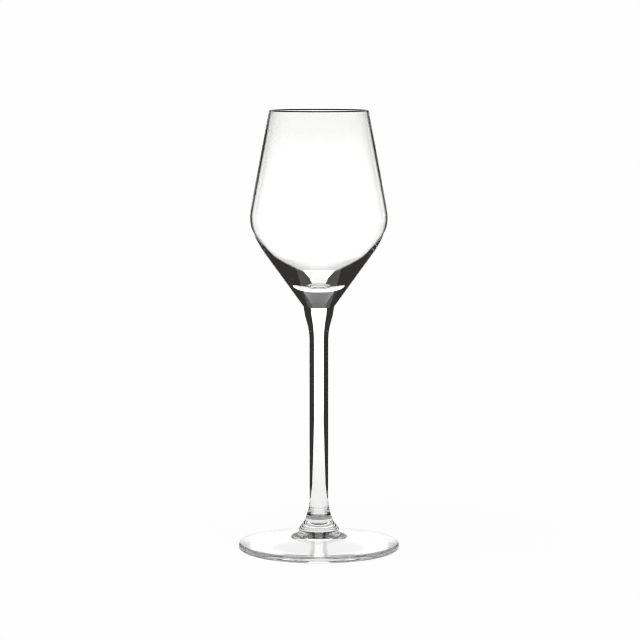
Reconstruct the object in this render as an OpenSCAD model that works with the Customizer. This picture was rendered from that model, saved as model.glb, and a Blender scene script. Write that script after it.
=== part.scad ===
// Port glass: a blown bowl on a drawn stem and a pressed foot.
// The three pieces are fused glass to glass at two flat seams.
// Origin: centre of the ring that the foot stands on. The axis of revolution is +Z.

/* [Bowl] */
// Outer diameter of the mouth
rim_d = 38.5; // [34:0.1:46]
// Greatest outer diameter, at the shoulder
bowl_d = 53.5; // [48:0.1:64]
// Height of the bowl from its seam with the stem up to the rim
bowl_h = 75.8; // [66:0.1:95]
// Height of the shoulder above that seam
shoulder_h = 34.6; // [30:0.1:42]
// Outer radius of the bend at the shoulder
shoulder_r = 12.5; // [8:0.1:16]
// Outer radius of the softer bend below the shoulder
cheek_r = 40; // [30:0.5:50]
// Lean of the outer wall from upright where the softer bend takes over
cheek_lean = 19.4; // [12:0.1:28]
// Thickness of the blown wall at the shoulder
wall_t = 0.85; // [0.7:0.05:1.4]
// Thickness of the wall at the rim, which ends in a full round
lip_t = 0.8; // [0.6:0.05:1.2]

/* [Cavity] */
// Solid glass between the bowl's seam and the bottom of the cavity
base_t = 9.1; // [6:0.1:14]
// Lean of the cavity from upright where it leaves the bend at the shoulder
cavity_lean = 1.2; // [0:0.1:8]
// How far the cavity holds that lean before it turns inwards
cavity_drop = 8.5; // [5:0.1:12]
// Lean of the cavity's funnel from upright, above the bend round its floor
funnel_lean = 55.8; // [48:0.1:60]
// How far the funnel holds that lean
funnel_rise = 10; // [4:0.1:12]
// Diameter of the dished floor
floor_d = 8; // [4:0.5:12]
// Slope of the dished floor at its edge, from level
floor_dip = 2.6; // [0.5:0.1:8]
// Slope of the bend round the floor where it leaves that edge with a crease, from level
crease_dip = 16; // [8:0.5:20]
// Radius of the bend round the floor
floor_r = 16; // [8:0.5:18]

/* [Stem] */
// Length of the stem between its two seams
stem_l = 82.6; // [60:0.1:110]
// Diameter of the shank
stem_d = 7.35; // [6:0.05:9]
// Diameter of the seam with the bowl
bowl_seam_d = 11.9; // [11:0.1:14]
// Height of the collar below that seam
collar_h = 3.3; // [1:0.1:5]
// Diameter at the lower end of the collar
collar_d = 10.9; // [9.5:0.1:13]
// Radius of the bend from the collar into the neck
collar_r = 8; // [2:0.5:12]
// Height of the neck that tapers from the collar to the shank
neck_h = 6.3; // [4:0.1:12]
// Radius of the bend from the neck into the shank
neck_r = 38; // [15:1:45]
// Height of the flare at the lower end of the shank
flare_h = 4.6; // [3:0.1:10]
// Radius of the bend from the shank into the flare
flare_r = 18; // [6:1:30]

/* [Foot] */
// Outer diameter of the foot
foot_d = 62.6; // [54:0.1:74]
// Height of the foot from the table to its seam with the stem
foot_h = 12; // [10.5:0.1:15]
// Diameter of the seam with the stem
foot_seam_d = 10.5; // [9:0.1:12]
// Height of the stub that carries the seam
stub_h = 1; // [0.4:0.1:2]
// Diameter of the stub where it stands on the boss
stub_d = 11.2; // [10.5:0.1:14]
// Height of the boss between the plate and the stub
boss_h = 3.2; // [1.5:0.1:4.2]
// Diameter of the boss where it meets the plate
boss_d = 16.2; // [14.5:0.1:20]
// Slope of the plate's upper face at the boss, from level
crown_slope = 21.5; // [14:0.5:30]
// Slope of the plate's upper face at the edge, from level
edge_slope = 7.5; // [0:0.5:12]
// Thickness of the plate at its edge
edge_t = 2.5; // [2:0.1:4]
// Radius that rounds the edge
edge_r = 1.1; // [0.4:0.1:1.2]
// Inner diameter of the flat ring that the foot stands on
ring_d = 52; // [44:0.1:56]
// Height of the hollow under the foot, at the axis
hollow_h = 4.7; // [1:0.1:5.5]
// How far the hollow's ceiling runs level from the axis
hollow_w = 10; // [5:0.5:14]
// Slope of the hollow's ceiling at the ring, from level
hollow_slope = 7.5; // [3:0.5:14]

/* [Hidden] */

// Turn between neighbouring points of an arc, in degrees
arc_step = 3;
// Stretches in a free curve
curve_n = 20;
// Segments of a revolve
$fn = 180;

// Heights of the two seams and the rim
foot_seam_z = foot_h;
bowl_seam_z = foot_seam_z + stem_l;
rim_z = bowl_seam_z + bowl_h;

// Clear, colourless glass
glass = [0.90, 0.94, 0.94, 0.45];

// Outlines are lists of [radius, height]. Angles are in degrees from the +radius axis.
function ray(a) = [cos(a), sin(a)];
function angle_of(v) = atan2(v.y, v.x);
function unit(v) = v / norm(v);
function without_first(list) = [for (i = [1 : len(list) - 1]) list[i]];

// Arc about c from angle a0 to angle a1
function arc(c, r, a0, a1) =
    let (n = max(2, ceil(abs(a1 - a0) / arc_step)))
    [for (i = [0 : n]) c + r * ray(a0 + (a1 - a0) * i / n)];

// Free curve that leaves p0 towards p1 and arrives at p3 from p2
function curve(p0, p1, p2, p3) =
    [for (i = [0 : curve_n])
        let (t = i / curve_n, s = 1 - t)
        s * s * s * p0 + 3 * s * s * t * p1 + 3 * s * t * t * p2 + t * t * t * p3];

// Corner at b between a and c, rounded by an arc that at most reaches halfway to them
function bend(a, b, c, r) =
    let (
        u = unit(a - b),
        v = unit(c - b),
        half = acos(u * v) / 2,
        reach = min(r / tan(half), norm(a - b) / 2, norm(c - b) / 2),
        bend_r = reach * tan(half),
        m = b + unit(u + v) * bend_r / sin(half),
        a0 = angle_of(b + u * reach - m),
        a1 = angle_of(b + v * reach - m),
        turn = (a1 - a0 + 540) % 360 - 180
    )
    arc(m, bend_r, a0, a0 + turn);

// The bowl's shoulder, softer cheek and rounded lip, as circles that the walls are tangent to
shoulder_c = [bowl_d / 2 - shoulder_r, bowl_seam_z + shoulder_h];
cheek_c = shoulder_c - (cheek_r - shoulder_r) * ray(-cheek_lean);
lip_r = lip_t / 2;
lip_c = [rim_d / 2 - lip_r, rim_z - lip_r];
to_lip = lip_c - shoulder_c;
wall_a = angle_of(to_lip) - acos((shoulder_r - lip_r) / norm(to_lip));
inner_r = shoulder_r - wall_t;
inner_a = angle_of(to_lip) - acos((inner_r + lip_r) / norm(to_lip));
to_seam = [bowl_seam_d / 2, bowl_seam_z] - cheek_c;
cone_a = angle_of(to_seam) + acos(cheek_r / norm(to_seam));

function bowl_outside() = concat(
    [[0, bowl_seam_z], [bowl_seam_d / 2, bowl_seam_z]],
    arc(cheek_c, cheek_r, cone_a, -cheek_lean),
    without_first(arc(shoulder_c, shoulder_r, -cheek_lean, wall_a)),
    arc(lip_c, lip_r, wall_a, inner_a + 180)
);

// The cavity runs beside the shoulder, then narrows on its own curve to a dished floor,
// so the glass thickens from the thin wall to the solid base
function cavity() =
    let (
        dish_r = floor_d / 2 / sin(floor_dip),
        dish_c = [0, bowl_seam_z + base_t + dish_r],
        floor_edge = dish_c + dish_r * ray(floor_dip - 90),
        floor_c = floor_edge + floor_r * ray(90 + crease_dip),
        side = arc(shoulder_c, inner_r, inner_a, -cavity_lean),
        corner = arc(floor_c, floor_r, -funnel_lean, crease_dip - 90),
        top = side[len(side) - 1],
        low = corner[0]
    )
    concat(
        side,
        without_first(curve(
            top,
            top - cavity_drop * ray(90 - cavity_lean),
            low + funnel_rise * ray(90 - funnel_lean),
            low)),
        without_first(corner),
        without_first(arc(dish_c, dish_r, floor_dip - 90, -90))
    );

module bowl() {
    color(glass)
        rotate_extrude()
            polygon(concat(bowl_outside(), cavity()));
}

// A drawn rod: collar and neck under the bowl, shank, and a flare whose bend may reach down to the foot
module stem() {
    top = [bowl_seam_d / 2, bowl_seam_z];
    collar = [collar_d / 2, bowl_seam_z - collar_h];
    neck = [stem_d / 2, collar.y - neck_h];
    flare = [stem_d / 2, foot_seam_z + flare_h];
    bottom = [foot_seam_d / 2, foot_seam_z];
    color(glass)
        rotate_extrude()
            polygon(concat(
                [[0, bowl_seam_z], top],
                bend(top, collar, neck, collar_r),
                bend(collar, neck, flare, neck_r),
                bend(neck, flare, 2 * bottom - flare, flare_r),
                [bottom, [0, foot_seam_z]]
            ));
}

// A pressed plate: stub, boss, crowned upper face, rounded edge, flat ring and shallow hollow
module foot() {
    stub = [stub_d / 2, foot_seam_z - stub_h];
    boss = [boss_d / 2, stub.y - boss_h];
    edge_top = [foot_d / 2, edge_t];
    edge_foot = [foot_d / 2, 0];
    rim = edge_top + 2 * edge_r * [-1, tan(edge_slope)];
    ring = [ring_d / 2, 0];
    crown_reach = (rim.x - boss.x) / 3;
    hollow_reach = ring.x / 3;
    color(glass)
        rotate_extrude()
            polygon(concat(
                [[0, foot_seam_z], [foot_seam_d / 2, foot_seam_z], stub],
                curve(
                    boss,
                    boss + crown_reach * [1, -tan(crown_slope)],
                    rim + crown_reach * [-1, tan(edge_slope)],
                    rim),
                bend(rim, edge_top, edge_foot, edge_r),
                bend(edge_top, edge_foot, ring, edge_r),
                curve(
                    ring,
                    ring + hollow_reach * [-1, tan(hollow_slope)],
                    [hollow_w, hollow_h],
                    [0, hollow_h])
            ));
}

bowl();
stem();
foot();
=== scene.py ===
import bpy
import math
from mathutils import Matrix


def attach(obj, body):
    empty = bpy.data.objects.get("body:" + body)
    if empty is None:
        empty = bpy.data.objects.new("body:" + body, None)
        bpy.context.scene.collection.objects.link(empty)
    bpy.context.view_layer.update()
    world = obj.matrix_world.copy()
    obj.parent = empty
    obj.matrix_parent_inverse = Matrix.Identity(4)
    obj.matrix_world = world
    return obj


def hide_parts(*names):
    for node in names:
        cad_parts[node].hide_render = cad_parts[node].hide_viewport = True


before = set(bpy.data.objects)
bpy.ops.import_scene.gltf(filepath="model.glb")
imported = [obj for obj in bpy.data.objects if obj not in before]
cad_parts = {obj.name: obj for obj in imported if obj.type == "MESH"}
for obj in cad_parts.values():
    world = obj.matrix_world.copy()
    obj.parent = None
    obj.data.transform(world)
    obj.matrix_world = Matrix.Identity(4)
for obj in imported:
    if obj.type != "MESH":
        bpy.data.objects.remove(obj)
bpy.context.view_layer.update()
scene = bpy.context.scene
mm = 0.001
print("frame loaded:", ", ".join(sorted(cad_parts)))


class Value:
    # an output socket; arithmetic on it adds Math nodes beside it
    def __init__(self, bench, socket):
        self.bench, self.socket = bench, socket

    def maths(self, operation, first, second):
        return self.bench.add("ShaderNodeMath", {"operation": operation}, {0: first, 1: second})

    def __add__(self, other):
        return self.maths("ADD", self, other)

    def __radd__(self, other):
        return self.maths("ADD", other, self)

    def __sub__(self, other):
        return self.maths("SUBTRACT", self, other)

    def __rsub__(self, other):
        return self.maths("SUBTRACT", other, self)

    def __mul__(self, other):
        return self.maths("MULTIPLY", self, other)

    def __rmul__(self, other):
        return self.maths("MULTIPLY", other, self)

    def __truediv__(self, other):
        return self.maths("DIVIDE", self, other)

    def __rtruediv__(self, other):
        return self.maths("DIVIDE", other, self)

    def __pow__(self, other):
        return self.maths("POWER", self, other)

    def __rpow__(self, other):
        return self.maths("POWER", other, self)


class Bench:
    # a cleared node tree, and the one way to put nodes on it
    def __init__(self, owner):
        owner.use_nodes = True
        self.tree = owner.node_tree
        self.tree.nodes.clear()

    def add(self, kind, settings=None, sockets=None, pick=0):
        node = self.tree.nodes.new(kind)
        for name, setting in (settings or {}).items():
            setattr(node, name, setting)
        for name, value in (sockets or {}).items():
            if isinstance(value, Value):
                self.tree.links.new(value.socket, node.inputs[name])
            else:
                node.inputs[name].default_value = value
        return Value(self, node.outputs[pick]) if node.outputs else node

    def mix(self, factor, first, second):
        return self.add("ShaderNodeMix", {"data_type": "RGBA"}, {0: factor, 6: first, 7: second}, 2)

    def ramp(self, value, start, end, low=0.0, high=1.0, shape="LINEAR"):
        return self.add("ShaderNodeMapRange", {"interpolation_type": shape}, {
            "Value": value, "From Min": start, "From Max": end, "To Min": low, "To Max": high})

    def height(self, place):
        return self.add("ShaderNodeSeparateXYZ", {}, {"Vector": place}, "Z")

    def outFromAxis(self, place):
        flat = self.add("ShaderNodeVectorMath", {"operation": "MULTIPLY"}, {0: place, 1: (1, 1, 0)})
        return self.add("ShaderNodeVectorMath", {"operation": "LENGTH"}, {0: flat}, "Value")


def grey(level):
    return level, level, level, 1


def put(name, data):
    made = bpy.data.objects.new(name, data)
    scene.collection.objects.link(made)
    return made


# outlines are lists of (radius, height) in mm, angles are degrees from the outward direction
def away(point, angle, distance):
    turn = math.radians(angle)
    return point[0] + distance * math.cos(turn), point[1] + distance * math.sin(turn)


def heading(start, end):
    return math.degrees(math.atan2(end[1] - start[1], end[0] - start[0]))


def arc(centre, radius, start, end, step=2.5):
    count = max(3, math.ceil(abs(end - start) / step))
    return [away(centre, start + (end - start) * i / count, radius) for i in range(count + 1)]


def curve(a, b, c, d, count=36):
    points = []
    for i in range(count + 1):
        t = i / count
        weights = (1 - t) ** 3, 3 * (1 - t) ** 2 * t, 3 * (1 - t) * t * t, t ** 3
        points.append(tuple(sum(w * p[k] for w, p in zip(weights, (a, b, c, d))) for k in (0, 1)))
    return points


def bend(a, corner, c, radius):
    # rounds a corner, at most as far as halfway to its neighbours
    toA, toC = heading(corner, a), heading(corner, c)
    opening = (toC - toA + 540) % 360 - 180
    half = math.radians(abs(opening) / 2)
    reach = min(radius / math.tan(half), math.dist(a, corner) / 2, math.dist(c, corner) / 2)
    radius = reach * math.tan(half)
    centre = away(corner, toA + opening / 2, radius / math.sin(half))
    start = heading(centre, away(corner, toA, reach))
    end = heading(centre, away(corner, toC, reach))
    return arc(centre, radius, start, start + (end - start + 540) % 360 - 180)


lathe = {"leastStep": 0.004, "onAxis": 0.0001, "sharpTurn": 12}  # mm, mm, degrees


def turned(name, outline, glass, seams, turns):
    # spins an outline about the upright axis; seams gives the material of a flat face at a height
    points = [outline[0]]
    for point in outline[1:]:
        if math.dist(point, points[-1]) > lathe["leastStep"]:
            points.append(point)
    verts, rings = [], []
    for radius, height in points:
        size = 1 if radius < lathe["onAxis"] else turns
        rings.append(range(len(verts), len(verts) + size))
        for i in range(size):
            turn = 2 * math.pi * i / turns
            verts.append((radius * math.cos(turn) * mm, radius * math.sin(turn) * mm, height * mm))
    heights = list(seams)
    faces, slots = [], []
    for (low, a), (high, b) in zip(zip(rings, points), zip(rings[1:], points[1:])):
        flat = a[1] == b[1] and a[1] in heights
        for i in range(turns):
            j = (i + 1) % turns
            loop = [low[i % len(low)], low[j % len(low)], high[j % len(high)], high[i % len(high)]]
            faces.append(list(dict.fromkeys(loop)))
            slots.append(1 + heights.index(a[1]) if flat else 0)
    mesh = bpy.data.meshes.new(name)
    mesh.from_pydata(verts, [], faces)
    for material in (glass, *seams.values()):
        mesh.materials.append(material)
    mesh.polygons.foreach_set("material_index", slots)
    mesh.polygons.foreach_set("use_smooth", [True] * len(faces))
    mesh.update()
    mesh.set_sharp_from_angle(angle=math.radians(lathe["sharpTurn"]))
    return put(name, mesh)


# the glass
def clearGlass(name, look):
    # one clear, colourless glass; streaks in it and films on it differ from piece to piece, and a dark band of
    # painted shade may sit at an outer edge
    material = bpy.data.materials.new(name)
    bench = Bench(material)
    place = bench.add("ShaderNodeTexCoord", pick="Object")
    height, radius = bench.height(place), bench.outFromAxis(place)

    def noise(where, scale, detail, roughness):
        return bench.add("ShaderNodeTexNoise", {}, {
            "Vector": where, "Scale": scale, "Detail": detail, "Roughness": roughness}, "Fac")

    drawn = bench.add("ShaderNodeMapping", {}, {"Vector": place, "Scale": look["streakScale"]})
    streaks = noise(drawn, scale=1.0, detail=2.0, roughness=0.45)
    tint = bench.mix(streaks, (*look["tint"], 1), grey(1.0))
    for measure, part in ((height, "lip"), (radius, "edge")):
        if part in look:
            # painted shade: a dark band painted into the colour at the piece's outer edge, standing in for
            # light caught inside the glass
            start, end, paintedShadeLeft = look[part]
            tint = bench.mix(bench.ramp(measure, start * mm, end * mm, shape="SMOOTHSTEP"), tint, grey(paintedShadeLeft))
    smears = noise(place, scale=look["filmScale"], detail=4.0, roughness=0.6)
    rough = bench.ramp(smears, start=0.52, end=0.78, shape="SMOOTHSTEP") * look["film"]
    if "scuff" in look:
        # fine wear on the ring that meets the table
        depth, wear = look["scuff"]
        scratches = noise(place, scale=1800.0, detail=3.0, roughness=0.7)
        rough = rough + bench.ramp(height, 0.0, depth * mm, low=1.0, high=0.0) * scratches * wear
    bump = bench.add("ShaderNodeBump", {}, {
        "Strength": 1.0, "Distance": look["streakHeight"], "Height": streaks})
    shader = bench.add("ShaderNodeBsdfPrincipled", {}, {
        "Base Color": tint, "Roughness": rough, "Normal": bump,
        "IOR": look["ior"], "Transmission Weight": 1.0})
    bench.add("ShaderNodeOutputMaterial", {}, {"Surface": shader})
    return material


def fusedSeam(name, film=None):
    # glass fused to glass shows no face; given a film, the seam's disc greys the light through it, most at a
    # low angle
    material = bpy.data.materials.new(name)
    bench = Bench(material)
    shader = bench.add("ShaderNodeBsdfTransparent", {}, {"Color": grey(1.0)})
    if film:
        radius = bench.outFromAxis(bench.add("ShaderNodeTexCoord", pick="Object"))
        fadeFrom, fadeTo = (film["reach"] - film["fade"]) * mm, film["reach"] * mm
        depth = bench.ramp(radius, fadeFrom, fadeTo, low=film["depth"], high=0.0)
        facing = bench.add("ShaderNodeLayerWeight", {}, {"Blend": 0.5}, "Facing")
        slant = 1 + film["leastSlant"] - facing
        passed = math.e ** (0 - depth / slant)
        dark = bench.add("ShaderNodeBsdfTransparent", {}, {"Color": grey(0.0)})
        shader = bench.add("ShaderNodeMixShader", {}, {0: passed, 1: dark, 2: shader})
    bench.add("ShaderNodeOutputMaterial", {}, {"Surface": shader})
    return material


seam = {
    "footTop": 12.0, "footD": 10.5, "bowlBase": 94.6, "bowlD": 11.9,  # heights and diameters, mm
    "film": {"depth": 0.16, "leastSlant": 0.02, "reach": 5.0, "fade": 0.2},  # reach and fade in mm
}
footTop, bowlBase = seam["footTop"], seam["bowlBase"]
bowlSeam = {bowlBase: fusedSeam("bowlSeam")}
footSeam = {footTop: fusedSeam("footSeam", seam["film"])}

bowl = {
    "rimD": 38.5, "shoulderD": 53.5, "height": 75.8, "shoulderUp": 34.6, "shoulderR": 12.5,
    "cheekR": 40, "cheekLean": 19.4, "wall": 0.85, "lip": 0.8,
    "base": 9.1, "cavityLean": 1.2, "cavityDrop": 8.5, "funnelLean": 55.8, "funnelRise": 10,
    "floorD": 8, "floorDip": 2.6, "creaseDip": 16, "floorR": 16, "turns": 384,
    "look": {
        "ior": 1.52, "tint": (0.992, 0.99, 0.982), "streakScale": (60, 60, 22), "streakHeight": 0.000004,
        "filmScale": 55, "film": 0.012, "lip": (169.8, 170.0, 0.01),  # painted shade at the rim's top: from, to, light left
    },
}


def bowlOutline(s):
    base = seam["bowlD"] / 2, bowlBase
    shoulder = s["shoulderD"] / 2 - s["shoulderR"], bowlBase + s["shoulderUp"]
    cheek = away(shoulder, 180 - s["cheekLean"], s["cheekR"] - s["shoulderR"])
    lipR = s["lip"] / 2
    lip = s["rimD"] / 2 - lipR, bowlBase + s["height"] - lipR
    insideR = s["shoulderR"] - s["wall"]
    # the walls are tangent to the circles at their ends
    span = math.dist(shoulder, lip)
    wallOut = heading(shoulder, lip) - math.degrees(math.acos((s["shoulderR"] - lipR) / span))
    wallIn = heading(shoulder, lip) - math.degrees(math.acos((insideR + lipR) / span))
    cone = heading(cheek, base) + math.degrees(math.acos(s["cheekR"] / math.dist(cheek, base)))
    # the cavity narrows on its own curve to a dished floor with a crease round it
    dishR = s["floorD"] / 2 / math.sin(math.radians(s["floorDip"]))
    dish = 0, bowlBase + s["base"] + dishR
    floorEdge = away(dish, s["floorDip"] - 90, dishR)
    corner = arc(away(floorEdge, 90 + s["creaseDip"], s["floorR"]), s["floorR"],
                 -s["funnelLean"], s["creaseDip"] - 90)
    inside = arc(shoulder, insideR, wallIn, -s["cavityLean"])
    funnel = curve(inside[-1], away(inside[-1], -90 - s["cavityLean"], s["cavityDrop"]),
                   away(corner[0], 90 - s["funnelLean"], s["funnelRise"]), corner[0])
    return ([(0, bowlBase), base]
            + arc(cheek, s["cheekR"], cone, -s["cheekLean"], step=1)
            + arc(shoulder, s["shoulderR"], -s["cheekLean"], wallOut, step=1)
            + arc(lip, lipR, wallOut, wallIn + 180, step=10)
            + inside + funnel + corner + arc(dish, dishR, s["floorDip"] - 90, -90, step=0.4))


stem = {
    "shankD": 7.35, "collarH": 3.3, "collarD": 10.9, "collarR": 8,
    "neckH": 6.3, "neckR": 38, "flareH": 4.6, "flareR": 18, "turns": 256,
    "look": {
        "ior": 1.52, "tint": (0.992, 0.99, 0.982), "streakScale": (700, 700, 9), "streakHeight": 0.0000015,
        "filmScale": 90, "film": 0.01,
    },
}


def stemOutline(s):
    top = seam["bowlD"] / 2, bowlBase
    collar = s["collarD"] / 2, bowlBase - s["collarH"]
    neck = s["shankD"] / 2, collar[1] - s["neckH"]
    flare = s["shankD"] / 2, footTop + s["flareH"]
    bottom = seam["footD"] / 2, footTop
    below = 2 * bottom[0] - flare[0], 2 * bottom[1] - flare[1]  # lets the flare's bend reach down to the seam
    return ([(0, footTop), bottom]
            + bend(below, flare, neck, s["flareR"])
            + bend(flare, neck, collar, s["neckR"])
            + bend(neck, collar, top, s["collarR"])
            + [top, (0, bowlBase)])


foot = {
    "d": 62.6, "stubH": 1.0, "stubD": 11.2, "bossH": 3.2, "bossD": 16.2,
    "crownSlope": 21.5, "edgeSlope": 7.5, "edgeT": 2.5, "edgeR": 1.1,
    "ringD": 52, "hollowH": 4.7, "hollowW": 10, "hollowSlope": 7.5, "turns": 384,
    "look": {
        "ior": 1.52, "tint": (0.93, 0.928, 0.92), "streakScale": (45, 45, 45), "streakHeight": 0.000004,
        "filmScale": 70, "film": 0.012, "scuff": (0.4, 0.25),  # depth, strength
        "edge": (30.3, 31.0, 0.68),  # painted shade at the foot's outer edge: from, to, light left
    },
}


def footOutline(s):
    stub = s["stubD"] / 2, footTop - s["stubH"]
    boss = s["bossD"] / 2, stub[1] - s["bossH"]
    edgeTop, edgeFoot = (s["d"] / 2, s["edgeT"]), (s["d"] / 2, 0)
    slope = math.tan(math.radians(s["edgeSlope"]))
    rim = edgeTop[0] - 2 * s["edgeR"], edgeTop[1] + 2 * s["edgeR"] * slope
    ring = s["ringD"] / 2, 0
    reach = (rim[0] - boss[0]) / 3
    crown = curve(boss, (boss[0] + reach, boss[1] - reach * math.tan(math.radians(s["crownSlope"]))),
                  (rim[0] - reach, rim[1] + reach * slope), rim)
    rise = ring[0] / 3
    hollow = curve(ring, (ring[0] - rise, rise * math.tan(math.radians(s["hollowSlope"]))),
                   (s["hollowW"], s["hollowH"]), (0, s["hollowH"]))
    downwards = ([(0, footTop), (seam["footD"] / 2, footTop), stub] + crown
                 + bend(rim, edgeTop, edgeFoot, s["edgeR"])
                 + bend(edgeTop, edgeFoot, ring, s["edgeR"]) + hollow)
    return downwards[::-1]


blownBowl = turned("blownBowl", bowlOutline(bowl), clearGlass("blownGlass", bowl["look"]),
                   bowlSeam, bowl["turns"])
drawnStem = turned("drawnStem", stemOutline(stem), clearGlass("drawnGlass", stem["look"]),
                   footSeam | bowlSeam, stem["turns"])
pressedFoot = turned("pressedFoot", footOutline(foot), clearGlass("pressedGlass", foot["look"]),
                     footSeam, foot["turns"])
for piece, node in ((blownBowl, "bowl"), (drawnStem, "stem"), (pressedFoot, "foot")):
    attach(piece, "root")
    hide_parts(node)
    print("piece", piece.name, len(piece.data.polygons), "faces")

# the camera, at the photograph's place, in mm and degrees
view = {"across": 0.43, "back": 987.2, "up": 194.0, "down": 6.045, "lens": 144.51, "sensor": 36, "nearest": 10}
camera = put("camera", bpy.data.cameras.new("camera"))
scene.camera = camera
camera.data.sensor_width = view["sensor"]
camera.data.lens = view["lens"]
camera.data.clip_start = view["nearest"] * mm
camera.location = view["across"] * mm, -view["back"] * mm, view["up"] * mm
camera.rotation_euler = math.radians(90 - view["down"]), 0, 0
print("camera set")

# the studio, in metres: clear glass shows only what stands round it, a white card behind it and a white strip
# of floor under it, with dark cloth beside and in front of the strip
studio = {
    "dark": (0.033, 0.032, 0.030, 1), "white": 0.991,
    "backHalf": 0.0785, "backTop": 0.355, "backAway": 0.1975,
    "sweepFrom": 0.12, "sweepLow": 0.0004, "sweepUp": 0.02,  # the card sweeps up from the floor
    "backLevels": ((0.0, 0.95), (0.01, 1.06), (0.02, 1.2), (0.038, 1.7), (0.112, 1.7),
                   (0.14, 1.13), (0.163, 1.03)),  # height, brightness
    "ceiling": 0.10, "ceilingHalf": 0.327, "ceilingUp": 0.8,
    "stripHalf": 0.0762, "stripFront": -0.098, "clothUp": 0.0003, "clothReach": 7,
    "floor": 0.92, "floorHalf": 4, "floorDown": 0.0001, "paint": 0.95, "shadow": 0.05,
    "sun": 3.3, "sunSoft": 50, "sunTilt": (14, -10),
}

turntable = put("turntable", None)  # the cards stay square to the camera
square = turntable.constraints.new("LOCKED_TRACK")
square.target = camera
square.track_axis = "TRACK_NEGATIVE_Y"
square.lock_axis = "LOCK_Z"


def flatPieces(name, quads, material):
    mesh = bpy.data.meshes.new(name)
    corners = [corner for quad in quads for corner in quad]
    mesh.from_pydata(corners, [], [range(4 * i, 4 * i + 4) for i in range(len(quads))])
    mesh.materials.append(material)
    return put(name, mesh)


def card(name, quads, colour, levels=None):
    # a flat card that only shows in the glass
    material = bpy.data.materials.new(name)
    bench = Bench(material)
    if levels:
        # white in reflections; through the glass its brightness makes up for what the glass's faces send away
        height = bench.height(bench.add("ShaderNodeTexCoord", pick="Object"))
        through = bench.add("ShaderNodeLightPath", pick="Is Transmission Ray")
        brightness = levels[0][1]
        for (start, before), (end, after) in zip(levels, levels[1:]):
            brightness = brightness + bench.ramp(height, start, end, low=0.0, high=after - before)
        colour = bench.add("ShaderNodeVectorMath", {"operation": "SCALE"}, {
            0: colour[:3], "Scale": 1 + (brightness - 1) * through})
    shader = bench.add("ShaderNodeEmission", {}, {"Color": colour, "Strength": 1.0})
    bench.add("ShaderNodeOutputMaterial", {}, {"Surface": shader})
    made = flatPieces(name, quads, material)
    made.visible_camera = made.visible_diffuse = made.visible_shadow = False
    made.parent = turntable


def level(x0, y0, x1, y1, up):
    return [(x0, y0, up), (x1, y0, up), (x1, y1, up), (x0, y1, up)]


def across(half, y0, z0, y1, z1):
    return [(-half, y0, z0), (half, y0, z0), (half, y1, z1), (-half, y1, z1)]


backHalf, back, bottom = studio["backHalf"], studio["backAway"], studio["sweepUp"]
sweep = across(backHalf, studio["sweepFrom"], studio["sweepLow"], back, bottom)
upright = across(backHalf, back, bottom, back, studio["backTop"])
card("backCard", [sweep, upright], grey(1.0), studio["backLevels"])

ceilingHalf = studio["ceilingHalf"]
overhead = level(-ceilingHalf, -ceilingHalf, ceilingHalf, ceilingHalf, studio["ceilingUp"])
card("ceilingCard", [overhead], grey(studio["ceiling"]))

half, front, lift, reach = (studio[name] for name in ("stripHalf", "stripFront", "clothUp", "clothReach"))
card("darkCloth", [level(-reach, -reach, -half, reach, lift), level(half, -reach, reach, reach, lift),
                   level(-half, -reach, half, front, lift)], studio["dark"])

# a plain pale floor, white to the eye and in the glass, with a faint share of real light for the shadow
floorMaterial = bpy.data.materials.new("floorWhite")
bench = Bench(floorMaterial)
isCamera, isGlossy, isThrough = (
    bench.add("ShaderNodeLightPath", pick=name)
    for name in ("Is Camera Ray", "Is Glossy Ray", "Is Transmission Ray"))
seen = 1 - (1 - isCamera) * (1 - isGlossy) * (1 - isThrough)
lit = bench.add("ShaderNodeBsdfDiffuse", {}, {"Color": grey(studio["paint"])})
shown = bench.mix(isCamera, grey(studio["floor"]), grey(studio["white"]))
glow = bench.add("ShaderNodeEmission", {}, {"Color": shown, "Strength": 1.0})
shader = bench.add("ShaderNodeMixShader", {}, {0: seen * (1 - studio["shadow"]), 1: lit, 2: glow})
bench.add("ShaderNodeOutputMaterial", {}, {"Surface": shader})
floorHalf = studio["floorHalf"]
floor = flatPieces("floor", [level(-floorHalf, -floorHalf, floorHalf, floorHalf, 0)], floorMaterial)
floor.location.z = -studio["floorDown"]

sun = put("softKey", bpy.data.lights.new("softKey", "SUN"))
sun.data.energy = studio["sun"]
sun.data.angle = math.radians(studio["sunSoft"])
sun.rotation_euler = *(math.radians(tilt) for tilt in studio["sunTilt"]), 0
sun.visible_glossy = sun.visible_transmission = False

world = bpy.data.worlds.new("studioWorld")
scene.world = world
bench = Bench(world)
room = bench.add("ShaderNodeBackground", {}, {"Color": studio["dark"], "Strength": 1.0})
white = bench.add("ShaderNodeBackground", {}, {"Color": grey(studio["white"]), "Strength": 1.0})
isCamera = bench.add("ShaderNodeLightPath", pick="Is Camera Ray")
shader = bench.add("ShaderNodeMixShader", {}, {0: isCamera, 1: room, 2: white})
bench.add("ShaderNodeOutputWorld", {}, {"Surface": shader})
print("studio set")

# light crosses many faces in thick glass, and its thin lines stay crisp
tracing = {"bounces": 64, "pixelSpread": 1.1}
scene.view_settings.view_transform = "Standard"
scene.cycles.max_bounces = tracing["bounces"]
scene.cycles.transmission_bounces = tracing["bounces"]
scene.cycles.glossy_bounces = tracing["bounces"]
scene.cycles.blur_glossy = 0
scene.cycles.filter_width = tracing["pixelSpread"]
